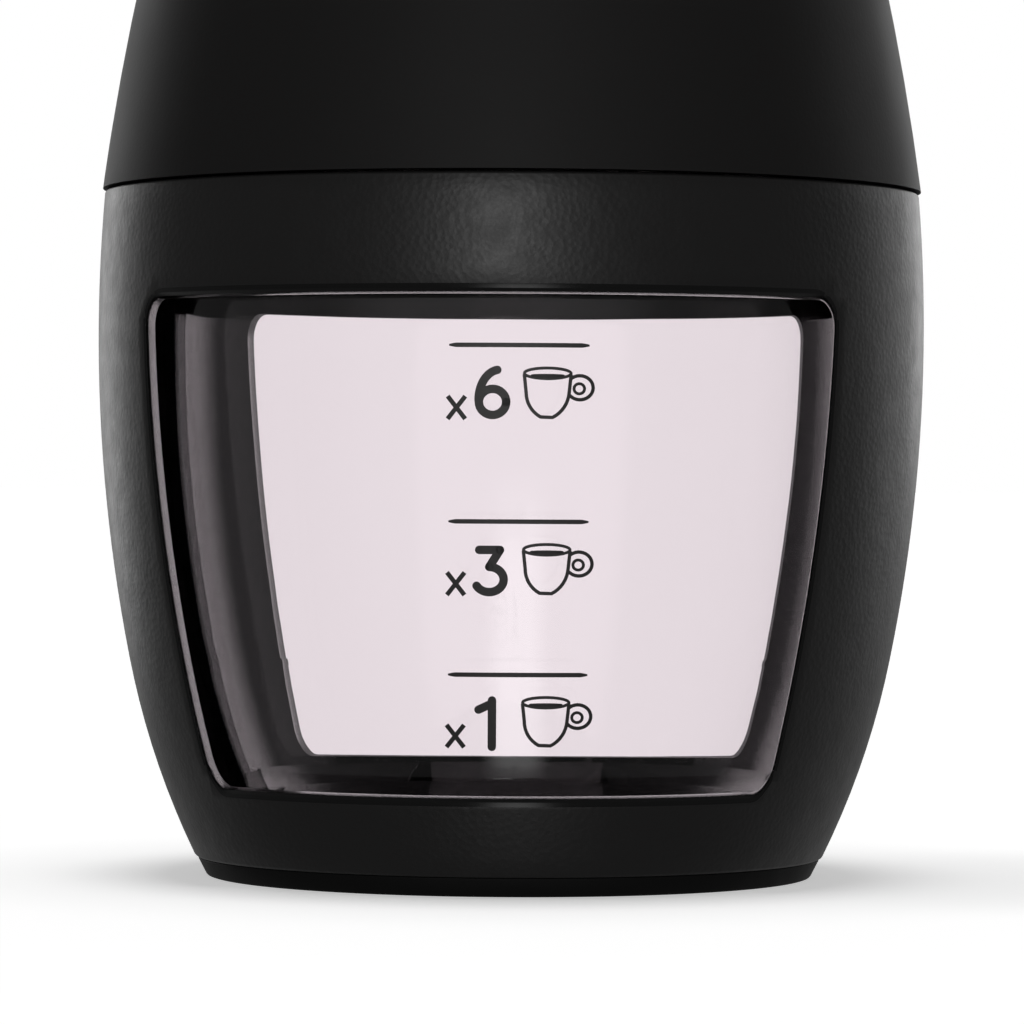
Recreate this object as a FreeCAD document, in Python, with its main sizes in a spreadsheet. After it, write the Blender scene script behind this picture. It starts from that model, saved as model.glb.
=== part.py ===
import FreeCAD, Part
import math
import os
import re
import Sketcher

# Hand crank coffee grinder, millimetres. +Z up, origin at the middle of the base, front towards -Y.
# The ground coffee container stands at the bottom, the mill body screws onto it with a quick thread,
# and the lid, the crank and its knob lift off the top together.

SIZES = {
    # container: a barrel whose side is two tangent arcs
    "belly_radius": 35.0,
    "belly_height": 46.0,
    "belly_curve": 140.0,
    "curve_change": 18.0,
    "foot_curve": 68.0,
    "pad_radius": 25.6,
    "pad_thick": 1.6,
    "shell_wall": 2.2,
    "shell_top": 57.8,
    "window_bottom": 8.2,
    "window_top": 48.2,
    "window_low_half": 22.6,
    "window_high_half": 28.0,
    "window_side_curve": 190.0,
    "window_corner": 2.4,
    # clear jar inside the shell, with the outer thread on its neck
    "jar_gap": 0.3,
    "jar_wall": 3.8,
    "jar_floor_low": 4.2,
    "jar_floor_high": 6.9,
    "jar_shoulder": 57.5,
    "neck_radius": 28.8,
    "neck_wall": 2.2,
    "neck_top": 65.5,
    "thread_lead": 12.0,
    "thread_arc_turns": 0.16,
    "thread_starts": 3,
    "thread_depth": 1.0,
    "thread_base": 1.5,
    "thread_tip": 0.9,
    "jar_thread_low": 62.2,
    "collar_thread_low": 60.2,
    # mill casing: shoulder arc, waist arc, flare arc
    "mill_bottom": 58.0,
    "mill_radius": 34.7,
    "shoulder_curve": 230.0,
    "shoulder_centre": 27.4,
    "bend_height": 86.0,
    "waist_height": 124.0,
    "flare_curve": 95.0,
    "rim_height": 151.0,
    "casing_wall": 1.8,
    # burr housing: thread collar, web and burr cup
    "collar_radius": 30.1,
    "collar_outer": 31.3,
    "collar_bottom": 58.4,
    "web_low": 67.0,
    "web_high": 69.2,
    "cup_radius": 19.2,
    "cup_outer": 21.2,
    "cup_bottom": 64.5,
    "cup_lip": 84.0,
    "housing_top": 86.0,
    "housing_screw_circle": 23.9,
    "housing_screw_radius": 1.5,
    "housing_screw_length": 12.0,
    "retainer_screw_circle": 22.8,
    "retainer_screw_radius": 1.0,
    # hopper
    "hopper_radius": 20.4,
    "hopper_outer": 21.9,
    "hopper_bottom": 86.0,
    "bridge_low": 91.0,
    "bridge_top": 97.4,
    "hopper_foot": 98.5,
    "lower_seat": 5.5,
    "upper_seat": 5.0,
    "boss_radius": 7.5,
    "post_radius": 2.4,
    "hopper_flange": 26.9,
    "ledge_height": 138.9,
    "mouth_radius": 23.4,
    "lip_radius": 28.3,
    "lip_thick": 1.4,
    "throat_radius": 17.6,
    # grinding set
    "burr_radius": 19.0,
    "burr_low": 64.6,
    "burr_high": 83.9,
    "burr_gap": 0.3,
    "burr_wide": 16.5,
    "burr_mid": 14.9,
    "burr_narrow": 13.6,
    "cone_low": 62.6,
    "cone_high": 83.2,
    "flute_count": 18,
    # shaft
    "shaft_radius": 3.5,
    "shaft_bottom": 51.0,
    "shaft_top": 160.0,
    "drive_radius": 3.0,
    "drive_flats": 5.0,
    "drive_top": 85.0,
    "hex_flats": 6.0,
    "hex_bottom": 149.0,
    "running_gap": 0.05,
    # lid, crank and knob
    "lid_bottom": 152.7,
    "spigot_radius": 22.9,
    "hub_radius": 6.0,
    "hub_bottom": 149.5,
    "hub_flange": 167.25,
    "arm_low": 170.0,
    "arm_thick": 3.0,
    "arm_reach": 75.0,
    "arm_hub_half": 8.0,
    "arm_knob_half": 6.5,
    "tenon_side": 7.0,
    "pin_radius": 3.0,
    "knob_radius": 13.2,
    "knob_low": 174.8,
    "knob_top": 206.0,
}

doc = FreeCAD.newDocument("HandCrankCoffeeGrinder")
sheet = doc.addObject("Spreadsheet::Sheet", "Sizes")
for row, (alias, number) in enumerate(SIZES.items(), 1):
    sheet.set(f"A{row}", alias)
    sheet.set(f"B{row}", str(number))
    sheet.setAlias(f"B{row}", alias)
doc.recompute()

pieces = []


# ---------------------------------------------------------------- helpers

def formula(text):
    """An expression with the sheet's name before each of its aliases; functions stay bare."""
    return re.sub(r"\b[a-z]\w*\b(?!\()", lambda word: f"Sizes.{word.group(0)}", str(text))


def amount(text):
    """The value that an expression has now."""
    return float(sheet.evalExpression(formula(text)))


def origin_part(body, role):
    return next(part for part in body.Origin.OriginFeatures if part.Role == role)


def new_body(name):
    body = doc.addObject("PartDesign::Body", name)
    body.Label = name
    pieces.append(body)
    return body


def new_sketch(body, name, role, height="0"):
    """A sketch on one of the body's own origin planes, moved along the plane's normal."""
    sketch = body.newObject("Sketcher::SketchObject", name)
    sketch.AttachmentSupport = (origin_part(body, role), "")
    sketch.MapMode = "FlatFace"
    sketch.setExpression("AttachmentOffset.Base.z", formula(height))
    return sketch


def place(sketch, geometry, vertex, x, y):
    """Hold a vertex at (x, y), each an expression."""
    for kind, axis, text in (("DistanceX", -2, x), ("DistanceY", -1, y)):
        value = amount(text)
        if abs(value) < 1e-9:
            sketch.addConstraint(Sketcher.Constraint("PointOnObject", geometry, vertex, axis))
            continue
        number = sketch.addConstraint(Sketcher.Constraint(kind, -1, 1, geometry, vertex, value))
        sketch.setExpression(f"Constraints[{number}]", formula(text))


def arc_between(start, end, radius, turn):
    """The arc from start to end that turns left (turn 1) or right (turn -1)."""
    chord = end - start
    rise = math.sqrt(max(radius ** 2 - chord.Length ** 2 / 4, 0))
    left = FreeCAD.Vector(-chord.y, chord.x, 0).normalize()
    centre = (start + end) / 2 + left * rise * turn
    first, last = (start, end) if turn > 0 else (end, start)
    angles = [math.atan2(point.y - centre.y, point.x - centre.x) for point in (first, last)]
    circle = Part.Circle(centre, FreeCAD.Vector(0, 0, 1), radius)
    return Part.ArcOfCircle(circle, *angles)


def draw(sketch, outline):
    """A closed outline of (x, y) corners; (x, y, radius, turn) starts an arc to the next corner."""
    corners = [FreeCAD.Vector(amount(point[0]), amount(point[1]), 0) for point in outline]
    ends = []
    for number, point in enumerate(outline):
        start = corners[number]
        end = corners[(number + 1) % len(corners)]
        if len(point) == 2:
            sketch.addGeometry(Part.LineSegment(start, end))
            ends.append((1, 2))
        else:
            sketch.addGeometry(arc_between(start, end, amount(point[2]), point[3]))
            ends.append((1, 2) if point[3] > 0 else (2, 1))
    for number in range(len(outline)):
        follower = (number + 1) % len(outline)
        joint = Sketcher.Constraint("Coincident", number, ends[number][1], follower, ends[follower][0])
        sketch.addConstraint(joint)
    for number, point in enumerate(outline):
        place(sketch, number, ends[number][0], point[0], point[1])
        if len(point) > 2:
            constraint = Sketcher.Constraint("Radius", number, amount(point[2]))
            sketch.setExpression(f"Constraints[{sketch.addConstraint(constraint)}]", formula(point[2]))


def draw_circle(sketch, x, radius):
    centre = FreeCAD.Vector(amount(x), 0, 0)
    sketch.addGeometry(Part.Circle(centre, FreeCAD.Vector(0, 0, 1), amount(radius)))
    place(sketch, 0, 3, x, "0")
    constraint = Sketcher.Constraint("Radius", 0, amount(radius))
    sketch.setExpression(f"Constraints[{sketch.addConstraint(constraint)}]", formula(radius))


def turned(name, outline, body=None):
    """A body made by turning an outline of (radius, height) corners about Z."""
    body = body or new_body(name)
    sketch = new_sketch(body, name + "_outline", "XZ_Plane")
    draw(sketch, outline)
    turn = body.newObject("PartDesign::Revolution", name + "_turn")
    turn.Profile = sketch
    turn.ReferenceAxis = (sketch, ["V_Axis"])
    turn.Angle = 360
    return body


def ring(name, inner, outer, low, high):
    return turned(name, [(inner, low), (outer, low), (outer, high), (inner, high)])


def shape_cut(body, sketch, length, up=True):
    """Sink a sketch into the body, upwards from its plane or downwards."""
    doc.recompute()
    before = body.Shape.Volume
    cut = body.newObject("PartDesign::Pocket", sketch.Name + "_cut")
    cut.Profile = sketch
    cut.setExpression("Length", formula(length))
    cut.Reversed = up
    doc.recompute()
    if cut.Shape.Volume >= before:
        raise RuntimeError(sketch.Name + " cuts nothing")
    return cut


def shape_pad(body, sketch, length):
    pad = body.newObject("PartDesign::Pad", sketch.Name + "_pad")
    pad.Profile = sketch
    pad.setExpression("Length", formula(length))
    return pad


def around(body, feature, count):
    """Repeat a feature evenly about Z."""
    pattern = body.newObject("PartDesign::PolarPattern", feature.Name + "_set")
    pattern.Originals = [feature]
    pattern.Axis = (origin_part(body, "Z_Axis"), [""])
    pattern.Angle = 360
    pattern.setExpression("Occurrences", formula(count))
    body.Tip = pattern
    return pattern


def sector(inner, outer, degrees, start):
    """Outline of an annular sector between two radii, from a start angle, both in degrees."""
    def at(radius, angle):
        return (f"({radius}) * cos({angle} * 1deg)", f"({radius}) * sin({angle} * 1deg)")
    end = start + degrees
    return [at(inner, start), (*at(outer, start), outer, 1), at(outer, end), (*at(inner, end), inner, -1)]


def thread_lugs(body, root, reach, low):
    """Evenly spaced lugs on the quick thread's helix, from a root radius out or in to reach."""
    sketch = new_sketch(body, body.Name + "_thread_section", "XZ_Plane")
    bite = f"({root} + ({root} - ({reach})) * 0.15)"
    corners = [
        (bite, f"{low} - thread_base / 2"),
        (reach, f"{low} - thread_tip / 2"),
        (reach, f"{low} + thread_tip / 2"),
        (bite, f"{low} + thread_base / 2"),
    ]
    draw(sketch, corners if amount(reach) > amount(root) else corners[::-1])
    lug = body.newObject("PartDesign::AdditiveHelix", body.Name + "_lug")
    lug.Profile = sketch
    lug.ReferenceAxis = (sketch, ["V_Axis"])
    lug.Mode = 0
    lug.setExpression("Pitch", formula("thread_lead"))
    lug.setExpression("Height", formula("thread_lead * thread_arc_turns"))
    around(body, lug, "thread_starts")


def dome(half, rise):
    """Radius of the dome of this half width and rise, its centre on the axis."""
    return f"(({half})^2 + ({rise})^2) / (2 * ({rise}))"


def finished_feature(name, shape):
    feature = doc.addObject("Part::Feature", name)
    feature.Label = name
    feature.Shape = shape
    pieces.append(feature)
    return feature


# ---------------------------------------------------------------- curves of the outer form

ARC_SINE = "((belly_height - curve_change) / belly_curve)"
FOOT_CENTRE_R = f"(belly_radius - belly_curve + (belly_curve - foot_curve) * sqrt(1 - {ARC_SINE}^2))"
FOOT_CENTRE_Z = f"(curve_change + foot_curve * {ARC_SINE})"


def belly(height, inset):
    """Radius of the barrel's upper arc at a height, this far inside the outer surface."""
    return f"belly_radius - belly_curve + sqrt((belly_curve - {inset})^2 - ({height} - belly_height)^2)"


def foot(height, inset):
    """Radius of the barrel's lower arc at a height, this far inside the outer surface."""
    return f"{FOOT_CENTRE_R} + sqrt((foot_curve - {inset})^2 - ({height} - {FOOT_CENTRE_Z})^2)"


BEND_SINE = "((bend_height - shoulder_centre) / shoulder_curve)"
BEND_COSINE = f"sqrt(1 - {BEND_SINE}^2)"
SHOULDER_CENTRE_R = "(mill_radius - sqrt(shoulder_curve^2 - (mill_bottom - shoulder_centre)^2))"
WAIST_CURVE = f"((waist_height - bend_height) / {BEND_SINE})"
WAIST_RADIUS = f"({SHOULDER_CENTRE_R} + (shoulder_curve + {WAIST_CURVE}) * {BEND_COSINE} - {WAIST_CURVE})"


def shoulder(height, inset):
    return f"{SHOULDER_CENTRE_R} + sqrt((shoulder_curve - {inset})^2 - ({height} - shoulder_centre)^2)"


def flare(height, inset):
    return (f"{WAIST_RADIUS} + flare_curve"
            f" - sqrt((flare_curve + {inset})^2 - ({height} - waist_height)^2)")


# ---------------------------------------------------------------- container

def container_shell():
    """Barrel-shaped black shell with a floor and one window cut through front and back."""
    wall = "shell_wall"
    floor = "pad_thick + shell_wall"
    body = turned("container_shell", [
        ("0", "pad_thick"),
        (foot("pad_thick", "0"), "pad_thick", "foot_curve", 1),
        (foot("curve_change", "0"), "curve_change", "belly_curve", 1),
        (belly("shell_top", "0"), "shell_top"),
        (belly("shell_top", wall), "shell_top", "belly_curve - shell_wall", -1),
        (belly("curve_change + shell_wall * " + ARC_SINE, wall),
         "curve_change + shell_wall * " + ARC_SINE, "foot_curve - shell_wall", -1),
        (foot(floor, wall), floor),
        ("0", floor),
    ])
    sketch = new_sketch(body, "window", "XZ_Plane", "-belly_radius - 1")
    draw(sketch, [
        ("-window_low_half", "window_bottom"),
        ("window_low_half", "window_bottom", "window_side_curve", 1),
        ("window_high_half", "window_top"),
        ("-window_high_half", "window_top", "window_side_curve", 1),
    ])
    shape_cut(body, sketch, "belly_radius * 2 + 2")
    round_edges(body, "window_corner", runs_along_y)
    return body


def runs_along_y(edge):
    if not isinstance(edge.Curve, Part.Line):
        return False
    return abs(edge.Curve.Direction.y) > 0.999


def round_edges(body, radius, wanted):
    """Fillet the edges of the body's last feature that pass a test."""
    doc.recompute()
    base = body.Tip
    names = [f"Edge{number}" for number, edge in enumerate(base.Shape.Edges, 1) if wanted(edge)]
    fillet = body.newObject("PartDesign::Fillet", base.Name + "_rounding")
    fillet.Base = (base, names)
    fillet.setExpression("Radius", formula(radius))
    return fillet


def grounds_jar():
    """Clear jar inside the shell: thick wall, shoulder, and a neck with thread lugs."""
    inset = "(shell_wall + jar_gap)"
    inner = "(shell_wall + jar_gap + jar_wall)"
    bend = f"curve_change + {inset} * {ARC_SINE}"
    inner_bend = f"curve_change + {inner} * {ARC_SINE}"
    shoulder_inside = "jar_shoulder - 3.5"
    body = turned("grounds_jar", [
        ("0", "jar_floor_low"),
        (foot("jar_floor_low", inset) + " - 0.4", "jar_floor_low"),
        (foot("jar_floor_low + 0.8", inset), "jar_floor_low + 0.8", f"foot_curve - {inset}", 1),
        (belly(bend, inset), bend, f"belly_curve - {inset}", 1),
        (belly("jar_shoulder", inset), "jar_shoulder"),
        ("neck_radius", "jar_shoulder"),
        ("neck_radius", "neck_top"),
        ("neck_radius - neck_wall", "neck_top"),
        ("neck_radius - neck_wall", "jar_shoulder"),
        (belly(shoulder_inside, inner), shoulder_inside, f"belly_curve - {inner}", -1),
        (belly(inner_bend, inner), inner_bend, f"foot_curve - {inner}", -1),
        (foot("jar_floor_high + 1.5", inner), "jar_floor_high + 1.5"),
        (foot("jar_floor_high + 1.5", inner) + " - 1.8", "jar_floor_high"),
        ("0", "jar_floor_high"),
    ])
    thread_lugs(body, "neck_radius", "neck_radius + thread_depth", "jar_thread_low")


def base_pad():
    turned("base_pad", [
        ("0", "0"),
        ("pad_radius", "0"),
        (foot("pad_thick", "0") + " - 0.15", "pad_thick"),
        ("0", "pad_thick"),
    ])


def neck_gasket():
    """Loose silicone ring between the jar's neck and the housing's web."""
    ring("neck_gasket", "neck_radius - 2.0", "neck_radius - 0.2", "neck_top + 0.1", "web_low - 0.1")


# ---------------------------------------------------------------- mill body

def mill_casing():
    """Soft-touch casing: shoulder, waist and flare, with an inner rib that sits on the collar."""
    wall = "casing_wall"
    bend_in = f"casing_wall * {BEND_SINE}"
    turned("mill_casing", [
        (shoulder("mill_bottom", "0"), "mill_bottom", "shoulder_curve", 1),
        (shoulder("bend_height", "0"), "bend_height", WAIST_CURVE, -1),
        (WAIST_RADIUS, "waist_height", "flare_curve", -1),
        (flare("rim_height", "0"), "rim_height"),
        (flare("rim_height", wall), "rim_height", f"flare_curve + {wall}", 1),
        (f"{WAIST_RADIUS} - {wall}", "waist_height", f"{WAIST_CURVE} + {wall}", 1),
        (shoulder(f"bend_height - {bend_in}", wall), f"bend_height - {bend_in}", f"shoulder_curve - {wall}", -1),
        (shoulder("collar_bottom + 3.2", wall), "collar_bottom + 3.2"),
        ("collar_outer + 0.15", "collar_bottom + 3.2"),
        ("collar_outer + 0.15", "collar_bottom + 1.4"),
        (shoulder("collar_bottom + 1.4", wall), "collar_bottom + 1.4", f"shoulder_curve - {wall}", -1),
        (shoulder("mill_bottom", wall), "mill_bottom"),
    ])


def burr_housing():
    """Moulded core: thread collar, web, and the cup that holds the outer burr."""
    body = turned("burr_housing", [
        ("collar_radius", "collar_bottom"),
        ("collar_outer + 1.3", "collar_bottom"),
        ("collar_outer + 1.3", "collar_bottom + 1.3"),
        ("collar_outer", "collar_bottom + 1.3"),
        ("collar_outer", "web_low"),
        ("collar_outer - 0.4", "web_high"),
        ("cup_outer", "web_high"),
        ("cup_outer", "housing_top"),
        ("throat_radius", "housing_top"),
        ("throat_radius", "cup_lip"),
        ("cup_radius", "cup_lip"),
        ("cup_radius", "cup_bottom"),
        ("cup_outer", "cup_bottom"),
        ("cup_outer", "web_low"),
        ("collar_radius", "web_low"),
    ])
    thread_lugs(body, "collar_radius", "collar_radius - thread_depth", "collar_thread_low")
    boss = new_sketch(body, "retainer_boss", "XY_Plane", "cup_bottom")
    draw_circle(boss, "-retainer_screw_circle", "1.9")
    around(body, shape_pad(body, boss, "web_low - cup_bottom + 1"), "3")
    pilot = new_sketch(body, "retainer_pilot", "XY_Plane", "cup_bottom")
    draw_circle(pilot, "-retainer_screw_circle", "1.0")
    around(body, shape_cut(body, pilot, "4"), "3")
    hole = new_sketch(body, "housing_screw_hole", "XY_Plane", "web_low - 0.5")
    draw_circle(hole, "housing_screw_circle", "1.5")
    around(body, shape_cut(body, hole, "web_high - web_low + 1"), "3")


def bearing_bridge():
    """Plate under the hopper: lower bearing on three arms, a ring on the housing and screw posts."""
    body = turned("bearing_bridge", [
        ("lower_seat", "bridge_low"),
        ("boss_radius", "bridge_low"),
        ("throat_radius + 0.4", "bridge_low + 0.5"),
        ("throat_radius", "hopper_bottom"),
        ("hopper_flange", "hopper_bottom"),
        ("hopper_flange", "hopper_bottom + 2"),
        ("hopper_outer", "hopper_bottom + 4"),
        ("hopper_outer", "hopper_foot"),
        ("hopper_radius", "hopper_foot"),
        ("throat_radius + 0.6", "hopper_foot - 2.5"),
        ("boss_radius", "hopper_foot - 1.5"),
        ("boss_radius", "bridge_top"),
        ("lower_seat", "bridge_top"),
    ])
    opening = new_sketch(body, "bean_gap", "XY_Plane", "hopper_bottom - 0.5")
    draw(opening, sector("boss_radius", "throat_radius - 0.2", 96, 12))
    around(body, shape_cut(body, opening, "14"), "3")
    post = new_sketch(body, "screw_post", "XY_Plane", "web_high")
    draw_circle(post, "housing_screw_circle", "post_radius")
    around(body, shape_pad(body, post, "hopper_bottom - web_high + 1"), "3")
    pilot = new_sketch(body, "post_pilot", "XY_Plane", "web_high")
    draw_circle(pilot, "housing_screw_circle", "housing_screw_radius")
    around(body, shape_cut(body, pilot, "housing_screw_length - 1"), "3")


def hopper():
    """Bean hopper: a straight tube on the bearing bridge that widens to the casing under its rim."""
    turned("hopper", [
        ("hopper_radius", "hopper_foot"),
        ("hopper_outer", "hopper_foot"),
        ("hopper_outer", "waist_height + 5"),
        (flare("ledge_height", "casing_wall + 0.15"), "ledge_height"),
        ("hopper_radius", "ledge_height"),
    ])


def hopper_rim():
    """Ring in the casing's mouth: the upper bridge's recess, the mouth and the lip under the lid."""
    turned("hopper_rim", [
        ("hopper_radius + 1.8", "ledge_height"),
        (flare("ledge_height", "casing_wall + 0.15"), "ledge_height", "flare_curve + casing_wall + 0.15", -1),
        (flare("rim_height", "casing_wall + 0.15"), "rim_height"),
        ("lip_radius", "rim_height"),
        ("lip_radius", "rim_height + lip_thick"),
        ("mouth_radius", "rim_height + lip_thick"),
        ("mouth_radius", "ledge_height + 6.6"),
        ("hopper_radius + 1.8", "ledge_height + 3"),
    ])


def screws(name, circle, head_low, head_radius, head_thick, shank_radius, length, start):
    """Three pan-head screws on a circle, heads down, as separate solids in one node."""
    solids = []
    for number in range(3):
        spot = FreeCAD.Vector(amount(circle), 0, amount(head_low))
        head = Part.makeCylinder(head_radius, head_thick, spot)
        shank = Part.makeCylinder(shank_radius, length, spot + FreeCAD.Vector(0, 0, head_thick))
        slot = Part.makeBox(head_radius * 2.4, 0.6, 0.6, spot - FreeCAD.Vector(head_radius * 1.2, 0.3, 0.1))
        screw = head.fuse(shank).cut(slot).removeSplitter()
        screw.rotate(FreeCAD.Vector(), FreeCAD.Vector(0, 0, 1), start + 120 * number)
        solids += screw.Solids
    finished_feature(name, Part.makeCompound(solids))


def housing_screws():
    radius, length = amount("housing_screw_radius"), amount("housing_screw_length")
    screws("housing_screws", "housing_screw_circle", "web_low - 1.8", 2.3, 1.8, radius, length, 0)


def retainer_screws():
    radius = amount("retainer_screw_radius")
    screws("retainer_screws", "retainer_screw_circle", "cup_bottom - 3.5", 1.9, 1.4, radius, 5.6, 180)


def retaining_ring():
    """Ring with three ears that holds the outer burr up in its cup."""
    body = ring("retaining_ring", "burr_wide + 0.5", "cup_outer - 0.3", "cup_bottom - 2.1", "cup_bottom")
    ear = new_sketch(body, "ear", "XY_Plane", "cup_bottom - 2.1")
    draw_circle(ear, "-retainer_screw_circle", "2.3")
    around(body, shape_pad(body, ear, "2.1"), "3")
    hole = new_sketch(body, "ear_hole", "XY_Plane", "cup_bottom - 2.6")
    draw_circle(hole, "-retainer_screw_circle", "retainer_screw_radius")
    around(body, shape_cut(body, hole, "3"), "3")


def upper_bridge():
    """Three-armed spider on the hopper's ledge that carries the upper bearing."""
    body = turned("upper_bridge", [
        ("upper_seat", "ledge_height - 4.9"),
        ("6.8", "ledge_height - 4.9"),
        ("8.0", "ledge_height"),
        ("hopper_radius + 1.6", "ledge_height"),
        ("hopper_radius + 1.6", "ledge_height + 2.4"),
        ("8.0", "ledge_height + 2.4"),
        ("6.8", "ledge_height + 5.6"),
        ("upper_seat", "ledge_height + 5.6"),
    ])
    gap = new_sketch(body, "bridge_gap", "XY_Plane", "ledge_height - 0.5")
    draw(gap, sector("8.2", "hopper_radius - 0.2", 98, 11))
    around(body, shape_cut(body, gap, "3.4"), "3")


def bushes():
    """Plain bearings of the shaft, one in each bridge."""
    bore = "shaft_radius + running_gap"
    turned("upper_bushing", [
        (bore, "ledge_height - 5.2"), ("upper_seat", "ledge_height - 5.2"),
        ("upper_seat", "ledge_height + 5.6"), ("6.4", "ledge_height + 5.6"),
        ("6.4", "ledge_height + 6.4"), (bore, "ledge_height + 6.4"),
    ])
    turned("lower_bushing", [
        (bore, "bridge_low - 0.1"), ("lower_seat", "bridge_low - 0.1"),
        ("lower_seat", "bridge_top"), ("7.0", "bridge_top"),
        ("7.0", "bridge_top + 0.9"), (bore, "bridge_top + 0.9"),
    ])


# ---------------------------------------------------------------- grinding set

def flute(low_radius, low, high_radius, high, twist, opening):
    """A straight V groove whose bottom runs from one (radius, height) to another, leaning by a twist."""
    start = FreeCAD.Vector(low_radius, 0, low)
    angle = math.radians(twist)
    end = FreeCAD.Vector(high_radius * math.cos(angle), high_radius * math.sin(angle), high)
    side = FreeCAD.Vector(0, 2.2, 0)
    out = FreeCAD.Vector(opening, 0, 0)
    corners = [start, start + out + side, start + out - side, start]
    return Part.Face(Part.makePolygon(corners)).extrude(end - start)


def fluted(name, outline, groove):
    """A turned burr with grooves cut evenly about Z."""
    corners = [FreeCAD.Vector(amount(r), 0, amount(z)) for r, z in outline]
    section = Part.Face(Part.makePolygon(corners + corners[:1]))
    blank = section.revolve(FreeCAD.Vector(), FreeCAD.Vector(0, 0, 1), 360)
    count = int(amount("flute_count"))
    grooves = []
    for number in range(count):
        copy = groove.copy()
        copy.rotate(FreeCAD.Vector(), FreeCAD.Vector(0, 0, 1), 360 * number / count)
        grooves.append(copy)
    cut = blank.cut(grooves)
    finished_feature(name, Part.Compound(cut.Solids) if len(cut.Solids) > 1 else cut.Solids[0])


def outer_burr():
    fluted("outer_burr", [
        ("burr_wide", "burr_low"), ("burr_radius", "burr_low"),
        ("burr_radius", "burr_high"), ("throat_radius - 0.6", "burr_high"),
        ("burr_narrow", "burr_high - 4"), ("burr_mid", "burr_low + 6"),
    ], flute(amount("burr_wide + 0.3"), amount("burr_low - 0.5"),
             amount("burr_narrow + 1.9"), amount("burr_high + 1"), -22, -3.5))


def inner_burr():
    gap = " - burr_gap"
    fluted("inner_burr", [
        ("6.8", "cone_low"), ("burr_wide" + gap, "cone_low"), ("burr_wide - 0.1" + gap, "burr_low"),
        ("burr_mid" + gap, "burr_low + 6"), ("9.6", "cone_high - 3"), ("8.6", "cone_high"), ("6.8", "cone_high"),
    ], flute(amount("burr_wide - 0.9"), amount("cone_low - 0.5"), 7.6, amount("cone_high + 1"), 26, 4.0))


def double_flat(body, name, low, length, radius, flats):
    """Cut two flats on a round end, from a height and over a length."""
    for sign in ("", "-"):
        sketch = new_sketch(body, f"{name}_{'back' if sign else 'front'}", "XY_Plane", low)
        near = f"{flats} / 2"
        far = f"{radius} + 1"
        corners = [(f"-({far})", near), (far, near), (far, far), (f"-({far})", far)]
        if sign:
            corners = [(x, f"-({y})") for x, y in corners[::-1]]
        draw(sketch, corners)
        shape_cut(body, sketch, length)


def burr_carrier():
    """Core of the inner burr, driven by the shaft's two flats."""
    body = turned("burr_carrier", [
        ("0", "cone_low - 1.0"), ("6.8", "cone_low - 1.0"), ("6.8", "cone_high"),
        ("7.6", "cone_high"), ("7.6", "cone_high + 1"), ("0", "cone_high + 1"),
    ])
    sketch = new_sketch(body, "carrier_bore", "XY_Plane", "cone_low - 1.5")
    half = "drive_flats / 2 + 0.08"
    radius = "drive_radius + 0.08"
    across = f"sqrt(({radius})^2 - ({half})^2)"
    draw(sketch, [
        (across, f"-({half})", radius, 1), (across, half),
        (f"-({across})", half, radius, 1), (f"-({across})", f"-({half})"),
    ])
    shape_cut(body, sketch, "cone_high - cone_low + 4")


def click_plate():
    """Steel washer with six detent holes between the nut and the burr."""
    body = ring("click_plate", "drive_radius + 0.2", "9.5", "cone_low - 2.0", "cone_low - 1.0")
    dimple = new_sketch(body, "detent", "XY_Plane", "cone_low - 2.5")
    draw_circle(dimple, "7.6", "0.8")
    around(body, shape_cut(body, dimple, "2"), "6")


def adjusting_nut():
    """Lobed plastic nut that sets the grind."""
    body = turned("adjusting_nut", [
        ("4.6", "shaft_bottom + 0.8"), ("8.2", "shaft_bottom + 0.8"), ("10.4", "shaft_bottom + 2.2"),
        ("10.4", "cone_low - 4.4"), ("8.6", "cone_low - 2.2"), ("4.6", "cone_low - 2.2"),
    ])
    scallop = new_sketch(body, "finger_scallop", "XY_Plane", "shaft_bottom")
    draw_circle(scallop, "12.2", "3.4")
    around(body, shape_cut(body, scallop, "10"), "6")


def nut_insert():
    ring("nut_insert", "drive_radius + 0.06", "4.6", "shaft_bottom + 0.8", "cone_low - 2.2")


def burr_spring():
    """Coil that presses the inner burr down onto its nut."""
    low = amount("cone_high + 2.2")
    high = amount("hopper_bottom + 4.7")
    wire = 0.45
    mean = 5.6
    turns = 3.5
    height = high - low - 2 * wire
    spans = 14

    def at(step):
        angle = 2 * math.pi * turns * step / spans
        return FreeCAD.Vector(mean * math.cos(angle), mean * math.sin(angle), height * step / spans)

    arcs = [Part.Arc(at(step), at(step + 0.5), at(step + 1)).toShape() for step in range(spans)]
    along = FreeCAD.Vector(0, 2 * math.pi * mean, height / turns)
    section = Part.Wire(Part.makeCircle(wire, at(0), along))
    coil = Part.Wire(arcs).makePipeShell([section], True, True)
    coil.translate(FreeCAD.Vector(0, 0, low + wire))
    finished_feature("burr_spring", coil)


def spring_washer():
    ring("spring_washer", "drive_radius + 0.75", "7.4", "cone_high + 1", "cone_high + 1.9")


# ---------------------------------------------------------------- shaft

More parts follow.
